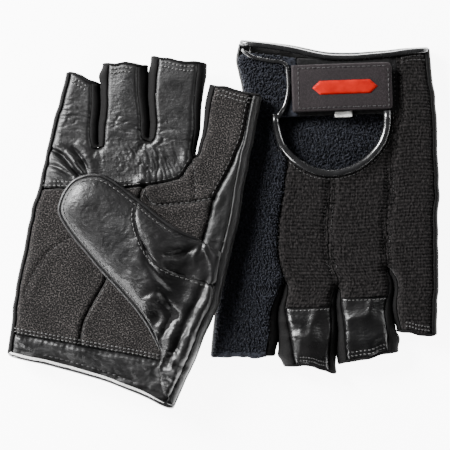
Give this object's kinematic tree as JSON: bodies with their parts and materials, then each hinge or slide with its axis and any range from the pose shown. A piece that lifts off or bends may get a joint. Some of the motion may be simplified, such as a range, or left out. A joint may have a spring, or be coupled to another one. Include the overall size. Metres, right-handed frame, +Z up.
{
  "type": "sailing gloves",
  "caption": "Pair of short-finger sailing gloves lying flat, one palm up and one back up, with suede and leather palms, ribbed and towelling backs, and closure straps.",
  "frame": {"origin": "centre of the pair's outline, on the surface that the gloves lie on", "axes": "+X across the pair from the right glove to the left glove, +Y towards the right glove's finger ends and the left glove's wrist, +Z up"},
  "size_m": [0.2252, 0.1918, 0.0251],
  "materials": {
    "leather": "soft black nappa leather with a low sheen",
    "suede": "napped synthetic suede, warm dark grey",
    "towelling": "looped towelling, blue-black",
    "rib_fabric": "ribbed stretch knit, brown-black",
    "gusset_fabric": "smooth knit stretch fabric, black",
    "loop_fabric": "brushed loop pile, dark grey",
    "webbing": "matt coated strap, grey-brown, stitched round its edge",
    "hooks": "moulded nylon hook tape",
    "gloss_trim": "glossy black folded binding",
    "elastic": "flat woven elastic",
    "badge": "smooth red moulded mark",
    "label": "woven white label, blank"
  },
  "bodies": {
    "left_glove": {"left_palm_leather": "leather", "left_index_palm_suede": "suede", "left_wrist_lining": "towelling", "left_heel_pad_outer": "suede", "left_heel_pad_inner": "suede", "left_side_leather": "leather", "left_cuff_band": "leather", "left_cuff_elastic": "elastic", "left_cuff_binding": "gloss_trim", "left_ulnar_gusset": "gusset_fabric", "left_gusset_little_ring": "gusset_fabric", "left_gusset_ring_middle": "gusset_fabric", "left_gusset_middle_index": "gusset_fabric", "left_terry_panel": "towelling", "left_rib_panel_middle": "rib_fabric", "left_rib_panel_ring": "rib_fabric", "left_rib_panel_little": "rib_fabric", "left_middle_patch": "leather", "left_ring_patch": "leather", "left_finger_hems": "gusset_fabric", "left_vent_piping": "gloss_trim", "left_loop_tape": "loop_fabric", "left_woven_label": "label"},
    "left_strap": {"left_strap_tab": "webbing", "left_hook_tape": "hooks", "left_strap_badge": "badge"},
    "left_thumb": {"left_thumb_front": "leather", "left_thumb_back": "leather", "left_thumb_crotch_panel": "leather", "left_thumb_seam": "leather"},
    "right_glove": {"right_palm_leather": "leather", "right_index_palm_suede": "suede", "right_wrist_lining": "towelling", "right_heel_pad_outer": "suede", "right_heel_pad_inner": "suede", "right_side_leather": "leather", "right_cuff_band": "leather", "right_cuff_elastic": "elastic", "right_cuff_binding": "gloss_trim", "right_ulnar_gusset": "gusset_fabric", "right_gusset_little_ring": "gusset_fabric", "right_gusset_ring_middle": "gusset_fabric", "right_gusset_middle_index": "gusset_fabric", "right_terry_panel": "towelling", "right_rib_panel_middle": "rib_fabric", "right_rib_panel_ring": "rib_fabric", "right_rib_panel_little": "rib_fabric", "right_middle_patch": "leather", "right_ring_patch": "leather", "right_finger_hems": "gusset_fabric", "right_vent_piping": "gloss_trim", "right_loop_tape": "loop_fabric", "right_woven_label": "label"},
    "right_strap": {"right_strap_tab": "webbing", "right_hook_tape": "hooks", "right_strap_badge": "badge"},
    "right_thumb": {"right_thumb_front": "leather", "right_thumb_back": "leather", "right_thumb_crotch_panel": "leather", "right_thumb_seam": "leather"}
  },
  "joints": [
    {"name": "right_glove_lift", "type": "slide", "parent": "left_glove", "child": "right_glove", "axis": [0, 0, 1], "range_m": [0, 0.12]},
    {"name": "right_thumb_fold", "type": "hinge", "parent": "right_glove", "child": "right_thumb", "pos_m": [-0.02125, -0.03893, 0.02225], "axis": [0.3518, 0.9359, 0.0161], "range_deg": [0, 150]},
    {"name": "left_thumb_fold", "type": "hinge", "parent": "left_glove", "child": "left_thumb", "pos_m": [0.003, 0.03736, 0.0027], "axis": [-0.1618, -0.9868, 0], "range_deg": [0, 80]},
    {"name": "right_strap_peel", "type": "hinge", "parent": "right_glove", "child": "right_strap", "pos_m": [-0.03933, -0.06408, 0.00633], "axis": [0.1994, 0.9799, 0], "range_deg": [-150, 0]},
    {"name": "left_strap_peel", "type": "hinge", "parent": "left_glove", "child": "left_strap", "pos_m": [0.03914, 0.06839, 0.01165], "axis": [0.0349, -0.9994, 0], "range_deg": [0, 150]}
  ]
}
